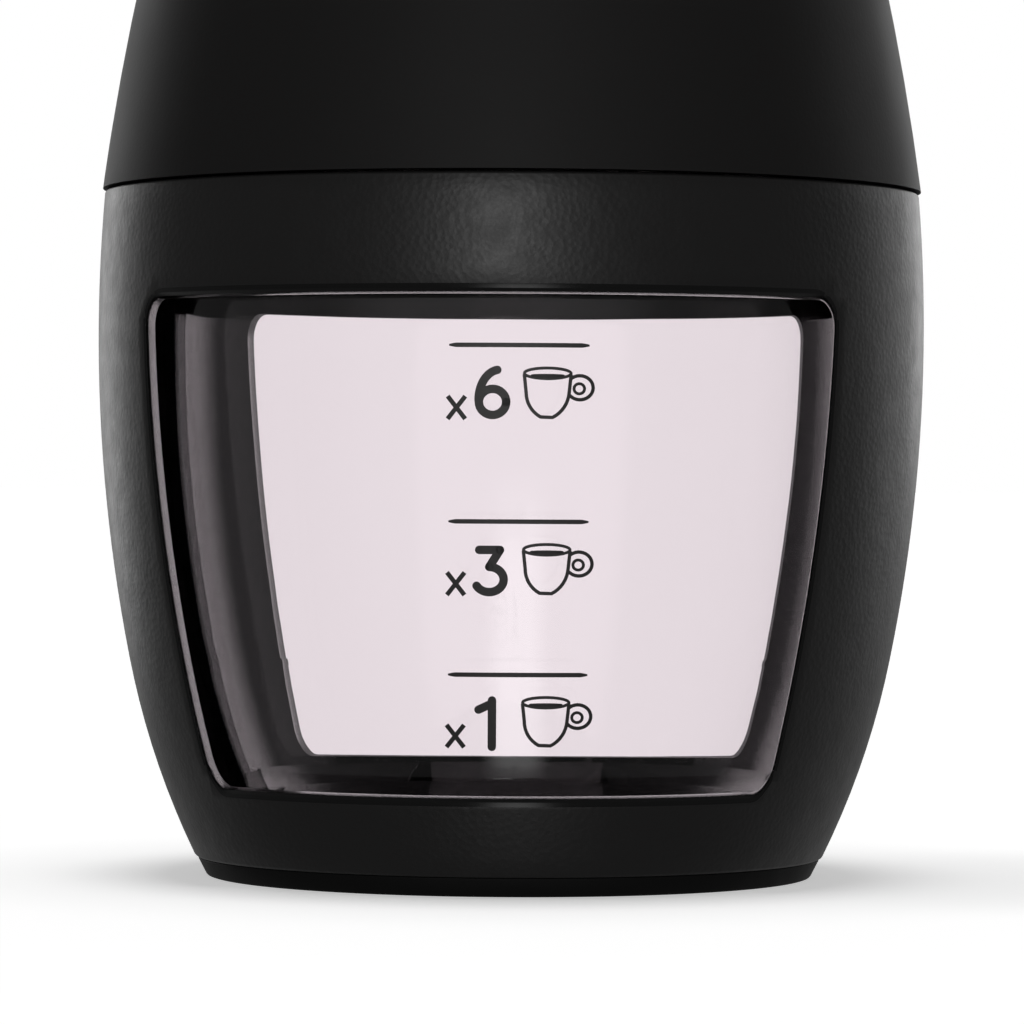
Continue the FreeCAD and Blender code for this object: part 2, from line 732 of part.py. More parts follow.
def drive_shaft():
    """Steel shaft: flats for the burr below, a round journal, a clip groove and a hexagon on top."""
    body = turned("drive_shaft", [
        ("0", "shaft_bottom"), ("drive_radius - 0.5", "shaft_bottom"),
        ("drive_radius", "shaft_bottom + 0.6"), ("drive_radius", "drive_top"),
        ("shaft_radius", "drive_top + 0.5"), ("shaft_radius", "hopper_bottom + 13.2"),
        ("2.8", "hopper_bottom + 13.2"), ("2.8", "hopper_bottom + 14.2"),
        ("shaft_radius", "hopper_bottom + 14.2"), ("shaft_radius", "shaft_top - 0.8"),
        ("shaft_radius - 0.8", "shaft_top"), ("0", "shaft_top"),
    ])
    double_flat(body, "drive_flat", "shaft_bottom - 0.5", "drive_top - shaft_bottom + 0.5",
                "drive_radius", "drive_flats")
    side = new_sketch(body, "hexagon_side", "XY_Plane", "hex_bottom")
    draw(side, [("hex_flats / 2", "-4"), ("6", "-4"), ("6", "4"), ("hex_flats / 2", "4")])
    around(body, shape_cut(body, side, "shaft_top - hex_bottom + 1"), "6")


def shaft_clip():
    """Retaining clip in the shaft's groove, open on one side, and the washer below it."""
    ring("thrust_washer", "shaft_radius + 0.02", "6.6", "hopper_bottom + 12.4", "hopper_bottom + 13.2")
    body = ring("shaft_clip", "2.8", "6.0", "hopper_bottom + 13.25", "hopper_bottom + 14.15")
    slot = new_sketch(body, "clip_mouth", "XY_Plane", "hopper_bottom + 13")
    draw(slot, [("0", "-1.9"), ("7", "-1.9"), ("7", "1.9"), ("0", "1.9")])
    shape_cut(body, slot, "2")


# ---------------------------------------------------------------- lid

def lid():
    """Clear domed lid with a spigot that fits the hopper and a boss for the crank's bearing."""
    turned("lid", [
        ("spigot_radius - 1.4", "lid_bottom - 3.3"),
        ("spigot_radius", "lid_bottom - 3.3"),
        ("spigot_radius", "lid_bottom - 2.6"),
        ("spigot_radius - 0.7", "lid_bottom - 2.6"),
        ("spigot_radius - 0.7", "lid_bottom - 1.2"),
        ("spigot_radius", "lid_bottom - 1.2"),
        ("spigot_radius", "lid_bottom"),
        ("lip_radius", "lid_bottom"),
        ("lip_radius", "lid_bottom + 3.0", "32", 1),
        ("9.5", "hub_flange - 3.0"),
        ("9.5", "hub_flange - 0.95"),
        ("7.0", "hub_flange - 0.95"),
        ("7.0", "hub_flange - 8.75"),
        ("9.2", "hub_flange - 8.75"),
        ("9.2", "hub_flange - 5.1", "30", -1),
        ("lip_radius - 2.0", "lid_bottom + 2.6"),
        ("spigot_radius - 1.4", "lid_bottom + 1.6"),
    ])
    ring("lid_seal", "spigot_radius - 0.7", "mouth_radius - 0.2", "lid_bottom - 2.5", "lid_bottom - 1.3")
    turned("lid_bushing", [
        ("hub_radius + running_gap", "hub_flange - 8.85"), ("7.0", "hub_flange - 8.85"),
        ("7.0", "hub_flange - 0.95"), ("9.0", "hub_flange - 0.95"),
        ("9.0", "hub_flange - 0.05"), ("hub_radius + running_gap", "hub_flange - 0.05"),
    ])


# ---------------------------------------------------------------- crank

def crank_hub():
    """Steel hub: hexagon socket below, flange, square tenon and threaded stud above."""
    body = turned("crank_hub", [
        ("0", "hub_bottom"), ("hub_radius - 0.6", "hub_bottom"), ("hub_radius", "hub_bottom + 0.6"),
        ("hub_radius", "hub_flange - 9.95"), ("5.2", "hub_flange - 9.95"),
        ("5.2", "hub_flange - 9.0"), ("hub_radius", "hub_flange - 9.0"),
        ("hub_radius", "hub_flange"), ("9.5", "hub_flange"), ("9.5", "arm_low"),
        ("tenon_side * 0.7", "arm_low"), ("tenon_side * 0.7", "arm_low + arm_thick"),
        ("3.0", "arm_low + arm_thick"), ("3.0", "arm_low + 9"), ("0", "arm_low + 9"),
    ])
    side = new_sketch(body, "tenon_side_cut", "XY_Plane", "arm_low")
    draw(side, [("tenon_side / 2", "-6"), ("8", "-6"), ("8", "6"), ("tenon_side / 2", "6")])
    around(body, shape_cut(body, side, "arm_thick"), "4")
    socket = new_sketch(body, "hexagon_socket", "XY_Plane", "hub_bottom - 0.5")
    draw(socket, hexagon("(hex_flats / 2 + running_gap)"))
    shape_cut(body, socket, "shaft_top - hub_bottom + 1.5")
    ring("hub_clip", "5.2", "8.4", "hub_flange - 9.9", "hub_flange - 9.05")


def hexagon(apothem):
    corner = f"{apothem} / cos(30deg)"
    return [(f"{corner} * cos({angle}deg)", f"{corner} * sin({angle}deg)") for angle in range(30, 390, 60)]


def crank_arm():
    """Flat steel arm, round at both ends and narrower at the knob."""
    body = new_body("crank_arm")
    sketch = new_sketch(body, "arm_outline", "XY_Plane", "arm_low")
    slope = "((arm_hub_half - arm_knob_half) / arm_reach)"
    hub = (f"arm_hub_half * {slope}", f"arm_hub_half * sqrt(1 - {slope}^2)")
    tip = (f"arm_reach + arm_knob_half * {slope}", f"arm_knob_half * sqrt(1 - {slope}^2)")
    draw(sketch, [
        (hub[0], "-" + hub[1]),
        (tip[0], "-" + tip[1], "arm_knob_half", 1),
        ("arm_reach + arm_knob_half", "0", "arm_knob_half", 1),
        tip,
        (*hub, "arm_hub_half", 1),
        ("-arm_hub_half", "0", "arm_hub_half", 1),
    ])
    shape_pad(body, sketch, "arm_thick")
    square = new_sketch(body, "tenon_hole", "XY_Plane", "arm_low - 0.5")
    half = "tenon_side / 2"
    draw(square, [(f"-{half}", f"-{half}"), (half, f"-{half}"), (half, half), (f"-{half}", half)])
    shape_cut(body, square, "arm_thick + 1")
    hole = new_sketch(body, "pin_hole", "XY_Plane", "arm_low - 0.5")
    draw_circle(hole, "arm_reach", "pin_radius")
    shape_cut(body, hole, "arm_thick + 1")


def cap_nut():
    """Washer and domed nut that hold the arm on its tenon."""
    ring("arm_washer", "3.0", "7.6", "arm_low + arm_thick", "arm_low + arm_thick + 1")
    low = "(arm_low + arm_thick + 1)"
    body = turned("cap_nut", [
        ("3.0", low), ("6.6", low), ("6.6", low + " + 4.2"), ("5.2", low + " + 4.6", dome("5.2", "3.4"), 1),
        ("0", low + " + 8"), ("0", "arm_low + 9"), ("3.0", "arm_low + 9"),
    ])
    side = new_sketch(body, "nut_flat", "XY_Plane", low)
    draw(side, [("5.5", "-6"), ("9", "-6"), ("9", "6"), ("5.5", "6")])
    around(body, shape_cut(body, side, "4.6"), "6")


# ---------------------------------------------------------------- knob, turned about its own axis

def at_knob(body):
    """Move a body turned about Z out to the knob's axis."""
    body.setExpression("Placement.Base.x", formula("arm_reach"))


def knob_pin():
    at_knob(turned("knob_pin", [
        ("0", "arm_low - 1.5"), ("3.6", "arm_low - 1.5"), ("5.2", "arm_low - 0.4"), ("5.2", "arm_low"),
        ("pin_radius", "arm_low"), ("pin_radius", "arm_low + arm_thick"),
        ("5.4", "arm_low + arm_thick"), ("5.4", "arm_low + arm_thick + 1.4"),
        ("pin_radius", "arm_low + arm_thick + 1.4"), ("pin_radius", "knob_top - 8"),
        ("2.2", "knob_top - 8"), ("2.2", "knob_top - 7"), ("3.6", "knob_top - 7"),
        ("3.0", "knob_top - 5.8"), ("0", "knob_top - 5.8"),
    ]))
    at_knob(ring("pin_washer", "2.2", "6.2", "knob_top - 8", "knob_top - 7"))


def knob():
    """Waisted knob with a bush pressed into it and a plug over the pin's riveted end."""
    at_knob(turned("knob", [
        ("5.2", "knob_low"), ("8.6", "knob_low"), ("9.4", "knob_low + 0.8", "60", -1),
        ("knob_radius - 0.6", "knob_low + 14", "12", 1), ("knob_radius - 0.6", "knob_top - 5.6", "9", 1),
        ("7.4", "knob_top - 0.6"), ("7.0", "knob_top - 0.6"), ("7.0", "knob_top - 8.3"),
        ("5.2", "knob_top - 8.3"),
    ]))
    at_knob(turned("knob_plug", [
        ("0", "knob_top - 3.2"), ("7.0", "knob_top - 3.2"), ("7.0", "knob_top - 0.6", dome("7.0", "0.6"), 1),
        ("0", "knob_top"),
    ]))
    at_knob(ring("knob_bushing", "pin_radius + running_gap", "5.2",
                 "arm_low + arm_thick + 1.6", "knob_top - 8.2"))


# ---------------------------------------------------------------- build, check and write

for make in (
    container_shell, grounds_jar, base_pad, neck_gasket,
    mill_casing, burr_housing, bearing_bridge, hopper, hopper_rim, housing_screws,
    retaining_ring, retainer_screws, upper_bridge, bushes, outer_burr,
    inner_burr, burr_carrier, click_plate, adjusting_nut, nut_insert, burr_spring, spring_washer,
    drive_shaft, shaft_clip,
    lid, crank_hub, crank_arm, cap_nut, knob_pin, knob,
):
    make()
doc.recompute()

for item in doc.Objects:
    if {"Invalid", "Error"} & set(item.State):
        raise RuntimeError(f"{item.Name} failed: {item.State}")
for piece in pieces:
    if piece.Shape.isNull() or not piece.Shape.isValid():
        raise RuntimeError(f"{piece.Label} has no valid shape")

os.makedirs("parts", exist_ok=True)
for piece in pieces:
    piece.Shape.exportStep(f"parts/{piece.Label}.step")
    box = piece.Shape.optimalBoundingBox()
    print(f"{piece.Label}: {len(piece.Shape.Solids)} solids, {piece.Shape.Volume:.0f} mm3,"
          f" z {box.ZMin:.2f} to {box.ZMax:.2f}, reach {max(box.XMax, box.YMax):.2f}")
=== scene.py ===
import math

import bpy
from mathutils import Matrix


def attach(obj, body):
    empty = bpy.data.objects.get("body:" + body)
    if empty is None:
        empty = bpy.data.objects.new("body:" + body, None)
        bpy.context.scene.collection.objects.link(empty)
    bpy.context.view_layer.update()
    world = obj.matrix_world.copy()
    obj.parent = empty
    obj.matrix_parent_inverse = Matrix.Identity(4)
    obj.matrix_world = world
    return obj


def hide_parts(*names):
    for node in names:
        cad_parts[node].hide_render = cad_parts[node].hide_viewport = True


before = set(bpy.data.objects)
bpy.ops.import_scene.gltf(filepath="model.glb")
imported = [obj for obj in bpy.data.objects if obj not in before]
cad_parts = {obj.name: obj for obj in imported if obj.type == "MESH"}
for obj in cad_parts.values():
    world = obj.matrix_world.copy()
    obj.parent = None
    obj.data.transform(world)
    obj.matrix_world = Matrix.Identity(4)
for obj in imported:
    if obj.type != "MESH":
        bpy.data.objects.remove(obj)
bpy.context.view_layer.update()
MM = 0.001

# Camera, floor and lamps. The camera stands level with the jar's window, a little to the right of the
# grinder's front, with a long lens. The floor is plain and white, and so is the far surround.
CAMERA_TURN = math.radians(5.0)
CAMERA_DISTANCE = 449.4 * MM
CAMERA_HEIGHT = 33.1 * MM
CAMERA_ROLL = math.radians(-0.3)
CAMERA_LENS = 185.7
CAMERA_SHIFT = (0.0015, -0.0264)


def add_camera():
    right = CAMERA_DISTANCE * math.sin(CAMERA_TURN)
    back = CAMERA_DISTANCE * math.cos(CAMERA_TURN)
    bpy.ops.object.camera_add(location=(right, -back, CAMERA_HEIGHT))
    camera = bpy.context.object
    camera.rotation_euler = (math.radians(90), CAMERA_ROLL, CAMERA_TURN)
    camera.data.lens = CAMERA_LENS
    camera.data.shift_x, camera.data.shift_y = CAMERA_SHIFT
    camera.data.clip_start = 0.01
    bpy.context.scene.camera = camera


def add_lamp(name, place, size, watts, aim, unlit):
    """A soft rectangular lamp that looks at a point on the grinder and leaves some things unlit."""
    bpy.ops.object.light_add(type="AREA", location=place)
    lamp = bpy.context.object
    lamp.name = name
    lamp.data.shape = "RECTANGLE"
    lamp.data.size, lamp.data.size_y = size
    lamp.data.energy = watts
    way = lamp.location.copy()
    way.xyz = [there - here for there, here in zip(aim, place)]
    lamp.rotation_euler = way.to_track_quat("-Z", "Y").to_euler()
    lamp.visible_camera = False
    lamp.visible_transmission = False
    kept_dark = bpy.data.collections.new(name + "_leaves_unlit")
    for thing in unlit:
        kept_dark.objects.link(thing)
    lamp.light_linking.receiver_collection = kept_dark
    for member in kept_dark.collection_objects:
        member.light_linking.link_state = "EXCLUDE"


class Wire:
    """A shader socket that can be used in sums, and the one way to make its tree's other nodes."""

    def __init__(self, tree, socket=None):
        self.tree = tree
        self.socket = socket

    def add(self, kind, inputs=None, out=0, **settings):
        """A node of this type with its settings, then its sockets, as the wire from one output."""
        node = self.tree.nodes.new(kind)
        for name, value in settings.items():
            setattr(node, name, value)
        for name, value in (inputs or {}).items():
            if isinstance(value, Wire):
                self.tree.links.new(value.socket, node.inputs[name])
            else:
                node.inputs[name].default_value = value
        return Wire(self.tree, node.outputs[out])

    def maths(self, operation, first, second):
        return self.add("ShaderNodeMath", {0: first, 1: second}, operation=operation)

    def __add__(self, other):
        return self.maths("ADD", self, other)

    def __sub__(self, other):
        return self.maths("SUBTRACT", self, other)

    def __rsub__(self, other):
        return self.maths("SUBTRACT", other, self)

    def __mul__(self, other):
        return self.maths("MULTIPLY", self, other)

    __radd__ = __add__
    __rmul__ = __mul__

    def above(self, low, high):
        """0 below low, 1 above high, and smooth between them."""
        inputs = {"Value": self, "From Min": low, "From Max": high}
        return self.add("ShaderNodeMapRange", inputs, interpolation_type="SMOOTHSTEP")

    def noise(self, scale, detail=2.0, at=None):
        inputs = {"Vector": at or self.position(), "Scale": scale, "Detail": detail}
        return self.add("ShaderNodeTexNoise", inputs, out="Fac")

    def varied(self, scale, least, spread):
        """A value that wanders upwards from least by no more than this spread."""
        return self.noise(scale) * spread + least

    def cells(self, scale, smoothness=0.35):
        inputs = {"Vector": self.position(), "Scale": scale, "Smoothness": smoothness}
        return self.add("ShaderNodeTexVoronoi", inputs, out="Distance", feature="SMOOTH_F1")

    def position(self):
        """The place on the grinder, in metres."""
        return self.add("ShaderNodeTexCoord", out="Object")

    def stretched(self, x, y, z):
        """The place with each axis scaled, so that a pattern runs along one of them."""
        return self.add("ShaderNodeMapping", {"Vector": self.position(), "Scale": (x, y, z)})

    def blend(self, part, first, second):
        """One colour or another, by a part from 0 to 1."""
        inputs = {"Factor": part, 6: (*first, 1), 7: (*second, 1)}
        return self.add("ShaderNodeMix", inputs, out=2, data_type="RGBA")

    def bump(self, height, depth):
        """Surface relief of this depth in millimetres."""
        return self.add("ShaderNodeBump", {"Height": height, "Distance": depth * MM, "Strength": 1.0})


BACKDROP = 0.3
SURROUND = 0.14
STRIP = 2.2
STRIP_LEAN = 0.13
FRONT = 0.4


def light_surround():
    """A surround that is white to look at. In the grinder it mirrors as a pale backdrop, a narrow strip
    low in front and little else, and through the jar only the backdrop is white."""
    world = bpy.data.worlds.new("surround")
    bpy.context.scene.world = world
    world.use_nodes = True
    tree = world.node_tree
    wire = Wire(tree)
    way = wire.add("ShaderNodeTexCoord", out="Generated")
    x, y, z = [wire.add("ShaderNodeSeparateXYZ", {0: way}, out=number) for number in range(3)]
    off_strip = wire.maths("ABSOLUTE", x + STRIP_LEAN * y, 0)
    strip = (1 - off_strip.above(0.05, 0.2)) * (1 - y.above(-0.2, 0))
    strip = strip * (-1 * z).above(0.15, 0.3) * (1 - (-1 * z).above(0.6, 0.7))
    mirrored = y.above(0.2, 0.8) * (BACKDROP - SURROUND) + SURROUND + STRIP * strip
    through = y.above(0.75, 0.93) * (1 - SURROUND) + SURROUND + FRONT * (-1 * y).above(0.5, 0.9)
    seen = wire.add("ShaderNodeLightPath", out="Is Camera Ray")
    crossing = wire.add("ShaderNodeLightPath", out="Is Transmission Ray")
    level = wire.add("ShaderNodeMix", {"Factor": crossing, "A": mirrored, "B": through})
    level = wire.add("ShaderNodeMix", {"Factor": seen, "A": level, "B": 1.0})
    background = tree.nodes["Background"]
    background.inputs["Color"].default_value = (1, 1, 1, 1)
    tree.links.new(level.socket, background.inputs["Strength"])


FLOOR_TONE = (0.9, 0.9, 0.9, 1)
FLOOR_GLOW = 0.47
CEILING_POWER = 1.4
CEILING_SPREAD = math.radians(22)


def lay_floor():
    """White floor that glows a little like a lit table, so that the grinder's foot shades it softly."""
    bpy.ops.mesh.primitive_plane_add(size=60)
    floor = bpy.context.object
    floor.name = "floor"
    paint = bpy.data.materials.new("white_floor")
    paint.use_nodes = True
    shader = paint.node_tree.nodes["Principled BSDF"]
    shader.inputs["Base Color"].default_value = FLOOR_TONE
    shader.inputs["Roughness"].default_value = 1.0
    shader.inputs["Specular IOR Level"].default_value = 0.0
    shader.inputs["Emission Color"].default_value = (1, 1, 1, 1)
    shader.inputs["Emission Strength"].default_value = FLOOR_GLOW
    floor.data.materials.append(paint)
    floor.visible_glossy = False
    floor.visible_diffuse = False
    floor.visible_transmission = False
    bpy.ops.object.light_add(type="SUN", location=(0, 0, 2))
    ceiling = bpy.context.object
    ceiling.name = "ceiling"
    ceiling.data.energy = CEILING_POWER
    ceiling.data.angle = CEILING_SPREAD
    ceiling.visible_glossy = False
    return floor


add_camera()
floor = lay_floor()
jar = bpy.data.objects["grounds_jar"]
add_lamp("left_lamp", place=(-0.72, 0.92, 0.35), size=(0.4, 0.9), watts=2.8, aim=(0, 0, 0.08), unlit=[floor])
add_lamp("right_lamp", place=(0.78, 0.88, 0.35), size=(0.3, 0.9), watts=1.2, aim=(0, 0, 0.08), unlit=[floor])
add_lamp("front_lamp", place=(0.045, -1.2, 0.24), size=(0.12, 0.26), watts=3.0, aim=(0, 0, 0.055),
         unlit=[floor, jar])
add_lamp("rear_lamp", place=(0.45, 1.25, 0.45), size=(0.22, 0.9), watts=2.6, aim=(0, 0, 0.1),
         unlit=[floor, jar])
light_surround()
bpy.context.scene.view_settings.view_transform = "Standard"


# Base pad: a disc of black silicone glued under the container's shell, so that the grinder doesn't
# slide on the worktop. Its edge continues the barrel's side inwards. The moulding leaves it matte. Its black
# is painted darker than the shell's, as painted shade for the dark band at the grinder's foot.
def new_finish(name, **plain):
    """A material with a Principled shader, its plain sockets set, and the wire that makes its nodes."""
    material = bpy.data.materials.new(name)
    material.use_nodes = True
    shader = material.node_tree.nodes["Principled BSDF"]
    for socket, value in plain.items():
        shader.inputs[socket.replace("_", " ")].default_value = value
    return material, Wire(material.node_tree), shader


def plug(shader, **wires):
    """Lead wires into the shader's sockets."""
    for socket, wire in wires.items():
        wire.tree.links.new(wire.socket, shader.inputs[socket.replace("_", " ")])


TURNING_STEPS = 144


def turned(name, corners):
    """A piece turned about the grinder's axis from (radius, height) corners in millimetres."""
    bpy.ops.object.select_all(action="DESELECT")
    bpy.ops.mesh.primitive_plane_add(size=0.01)
    piece = bpy.context.object
    piece.name = piece.data.name = name
    bpy.ops.object.mode_set(mode="EDIT")
    bpy.ops.mesh.merge(type="CENTER")
    bpy.ops.transform.translate(value=(corners[0][0] * MM, 0, corners[0][1] * MM))
    for before, after in zip(corners, corners[1:]):
        step = ((after[0] - before[0]) * MM, 0, (after[1] - before[1]) * MM)
        bpy.ops.mesh.extrude_region_move(TRANSFORM_OT_translate={"value": step})
    bpy.ops.mesh.select_all(action="SELECT")
    bpy.ops.mesh.spin(steps=TURNING_STEPS, angle=2 * math.pi, center=(0, 0, 0), axis=(0, 0, 1))
    bpy.ops.mesh.select_all(action="SELECT")
    bpy.ops.mesh.remove_doubles(threshold=2e-6)
    bpy.ops.mesh.normals_make_consistent(inside=False)
    bpy.ops.object.mode_set(mode="OBJECT")
    return piece


def soften(piece, width, sharp=35.0):
    """Round the sharp edges of a piece, in millimetres, and shade the rest smooth."""
    bpy.ops.object.select_all(action="DESELECT")
    piece.select_set(True)
    bpy.context.view_layer.objects.active = piece
    if width:
        rounding = piece.modifiers.new("rounding", "BEVEL")
        rounding.width = width * MM
        rounding.segments = 2
        rounding.angle_limit = math.radians(sharp)
        bpy.ops.object.modifier_apply(modifier=rounding.name)
    bpy.ops.object.shade_smooth_by_angle(angle=math.radians(sharp))


def settle(piece, body, material, slot, *nodes):
    """Give a piece its finish, its body and the nodes it stands for. The slot is not used."""
    piece.data.materials.clear()
    piece.data.materials.append(material)
    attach(piece, body)
    if nodes:
        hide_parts(*nodes)


def silicone(name, colour):
    material, wire, shader = new_finish(name, Base_Color=(*colour, 1), Specular_IOR_Level=0.15)
    plug(shader, Roughness=wire.varied(300.0, least=0.55, spread=0.2),
         Normal=wire.bump(wire.noise(5000.0), depth=0.01))
    return material


PAD_TOP = 1.6
PAD_FOOT_RADIUS = 25.6
PAD_HEAD_RADIUS = 26.42
PAD_EDGE = 0.2
# Painted shade: the pad's black is darker than the shell's, so that the foot shows as a dark band.
PAD_BLACK_AND_SHADE = (0.004, 0.004, 0.004)
pad = turned("base_pad_rubber", [(0, 0), (PAD_FOOT_RADIUS, 0), (PAD_HEAD_RADIUS, PAD_TOP), (0, PAD_TOP)])
soften(pad, PAD_EDGE)
settle(pad, "container", silicone("black_silicone", PAD_BLACK_AND_SHADE), "black_silicone", "base_pad")


# Container shell: a barrel of black plastic, open at the top, with a fine leathery grain from the mould
# and one window cut through front and back. The window's rim is a narrow polished bevel.
BELLY_RADIUS = 35.0
BELLY_HEIGHT = 46.0
BELLY_CURVE = 140.0
FOOT_CURVE = 68.0
CURVE_CHANGE = 18.0
SHELL_WALL = 2.2
SHELL_TOP = 57.8
WINDOW_LOW, WINDOW_HIGH = 8.2, 48.2
WINDOW_FOOT_HALF, WINDOW_HEAD_HALF = 22.6, 28.0
WINDOW_SIDE_CURVE = 190.0
WINDOW_CORNER = 2.4
RIM_BEVEL = 0.75
EDGE_BEVEL = 0.25
CUTTER_REACH = 2.0
FLAT_WINDOW = 32.0
FLAT_QUARTER = 54.0
SHELL_FLOOR_TOP = 3.8
SHELL_FLOOR_INSET = 1.2
ACROSS_STEPS = 40
HEIGHT_STEPS = 30
NEAR = 0.01


def barrel(height, inset=0.0):
    """Radius of the barrel's side at a height, this far inside its outer surface."""
    sine = (BELLY_HEIGHT - CURVE_CHANGE) / BELLY_CURVE
    if height >= CURVE_CHANGE + inset * sine:
        curve = BELLY_CURVE - inset
        return BELLY_RADIUS - BELLY_CURVE + math.sqrt(curve ** 2 - (height - BELLY_HEIGHT) ** 2)
    middle = CURVE_CHANGE + FOOT_CURVE * sine
    centre = BELLY_RADIUS - BELLY_CURVE + (BELLY_CURVE - FOOT_CURVE) * math.sqrt(1 - sine ** 2)
    return centre + math.sqrt((FOOT_CURVE - inset) ** 2 - (height - middle) ** 2)


def window_half(height):
    """Half of the window's width at a height; its sides are shallow arcs."""
    along = (height - WINDOW_LOW) / (WINDOW_HIGH - WINDOW_LOW)
    spread = WINDOW_HEAD_HALF - WINDOW_FOOT_HALF
    chord = math.hypot(spread, WINDOW_HIGH - WINDOW_LOW)
    sagitta = WINDOW_SIDE_CURVE - math.sqrt(WINDOW_SIDE_CURVE ** 2 - chord ** 2 / 4)
    return WINDOW_FOOT_HALF + spread * along + 4 * sagitta * along * (1 - along)


def in_window(height):
    """The nearest height that lies between the window's foot and head."""
    return min(max(height, WINDOW_LOW), WINDOW_HIGH)


def wrapped(flat):
    """Where a point of the flat panel (x, depth, height) lies on the barrel, in millimetres."""
    across, depth, height = flat
    radius = barrel(height) - depth
    side = math.asin(min(window_half(in_window(height)) / radius, 1))
    share = abs(across) / FLAT_WINDOW
    angle = side * share
    if share > 1:
        angle = side + (math.pi / 2 - side) * (abs(across) - FLAT_WINDOW) / (FLAT_QUARTER - FLAT_WINDOW)
    angle = math.copysign(angle, across)
    return radius * math.sin(angle), -radius * math.cos(angle), height


def flat_block(name, low, high):
    """A block between two corners, in millimetres, left in edit mode with all of it selected."""
    bpy.ops.object.select_all(action="DESELECT")
    middle = [(a + b) / 2 * MM for a, b in zip(low, high)]
    bpy.ops.mesh.primitive_cube_add(size=1, location=middle)
    block = bpy.context.object
    block.name = block.data.name = name
    block.scale = [(b - a) * MM for a, b in zip(low, high)]
    bpy.ops.object.transform_apply(location=True, rotation=False, scale=True)
    bpy.ops.object.mode_set(mode="EDIT")
    return block


def select_edges(piece, wanted):
    """In edit mode, select only the edges whose two ends, in millimetres, pass a test."""
    bpy.ops.mesh.select_mode(type="EDGE")
    bpy.ops.mesh.select_all(action="DESELECT")
    bpy.ops.object.mode_set(mode="OBJECT")
    for edge in piece.data.edges:
        ends = [piece.data.vertices[number].co / MM for number in edge.vertices]
        edge.select = wanted(*ends)
    bpy.ops.object.mode_set(mode="EDIT")


def slice_up(positions, normal):
    """Cut the whole mesh in edit mode by parallel planes at these distances in millimetres."""
    for position in positions:
        bpy.ops.mesh.select_all(action="SELECT")
        place = [position * MM * part for part in normal]
        bpy.ops.mesh.bisect(plane_co=place, plane_no=normal, threshold=1e-7)


def front_panel():
    """Half of the shell, modelled flat with its window and bevels and then wrapped onto the barrel."""
    cutter = flat_block("window_cutter", (-FLAT_WINDOW, -CUTTER_REACH, WINDOW_LOW),
                        (FLAT_WINDOW, SHELL_WALL + CUTTER_REACH, WINDOW_HIGH))
    select_edges(cutter, lambda a, b: abs(a.y - b.y) > 1)
    bpy.ops.mesh.bevel(offset=WINDOW_CORNER * MM, segments=8)
    bpy.ops.object.mode_set(mode="OBJECT")
    panel = flat_block("container_shell_wall", (-FLAT_QUARTER, 0, PAD_TOP),
                       (FLAT_QUARTER, SHELL_WALL, SHELL_TOP))
    bpy.ops.object.mode_set(mode="OBJECT")
    cut = panel.modifiers.new("window", "BOOLEAN")
    cut.object = cutter
    cut.solver = "EXACT"
    bpy.ops.object.modifier_apply(modifier=cut.name)
    bpy.data.objects.remove(cutter)
    bpy.ops.object.mode_set(mode="EDIT")

    def on_rim(*ends):
        return all(abs(end.x) < FLAT_WINDOW + NEAR and abs(end.y) < NEAR
                   and WINDOW_LOW - NEAR < end.z < WINDOW_HIGH + NEAR for end in ends)

    def on_end(a, b):
        at_end = abs(a.z - SHELL_TOP) < NEAR or abs(a.z - PAD_TOP) < NEAR
        return max(a.y, b.y) < NEAR and a.z == b.z and at_end

    select_edges(panel, on_rim)
    bpy.ops.mesh.bevel(offset=RIM_BEVEL * MM, segments=3)
    select_edges(panel, on_end)
    bpy.ops.mesh.bevel(offset=EDGE_BEVEL * MM, segments=3)
    steps = range(1 - ACROSS_STEPS, ACROSS_STEPS)
    slice_up([FLAT_QUARTER * step / ACROSS_STEPS for step in steps], (1, 0, 0))
    rise = SHELL_TOP - PAD_TOP
    slice_up([PAD_TOP + rise * step / HEIGHT_STEPS for step in range(1, HEIGHT_STEPS)], (0, 0, 1))
    bpy.ops.mesh.select_mode(type="FACE")
    bpy.ops.mesh.select_all(action="DESELECT")
    bpy.ops.object.mode_set(mode="OBJECT")
    for face in panel.data.polygons:
        face.select = abs(face.normal.x) > 0.99 and abs(abs(face.center.x) / MM - FLAT_QUARTER) < NEAR
    bpy.ops.object.mode_set(mode="EDIT")
    bpy.ops.mesh.delete(type="FACE")
    bpy.ops.object.mode_set(mode="OBJECT")
    for vertex in panel.data.vertices:
        vertex.co = [value * MM for value in wrapped(vertex.co / MM)]
    return panel


def whole_shell():
    """The front half, its copy behind, and the floor, joined."""
    front = front_panel()
    back = front.copy()
    back.data = front.data.copy()
    bpy.context.collection.objects.link(back)
    for vertex in back.data.vertices:
        vertex.co.xy = -vertex.co.xy
    foot = barrel(PAD_TOP) - SHELL_FLOOR_INSET
    head = barrel(SHELL_FLOOR_TOP) - SHELL_FLOOR_INSET
    base = turned("shell_floor", [(0, PAD_TOP), (foot, PAD_TOP),
                                  (head, SHELL_FLOOR_TOP), (0, SHELL_FLOOR_TOP)])
    bpy.ops.object.select_all(action="DESELECT")
    for part in (base, back, front):
        part.select_set(True)
    bpy.context.view_layer.objects.active = front
    bpy.ops.object.join()
    bpy.ops.object.mode_set(mode="EDIT")
    bpy.ops.mesh.select_all(action="SELECT")
    bpy.ops.mesh.remove_doubles(threshold=4e-6)
    bpy.ops.object.mode_set(mode="OBJECT")
    soften(front, 0, sharp=28)
    return front


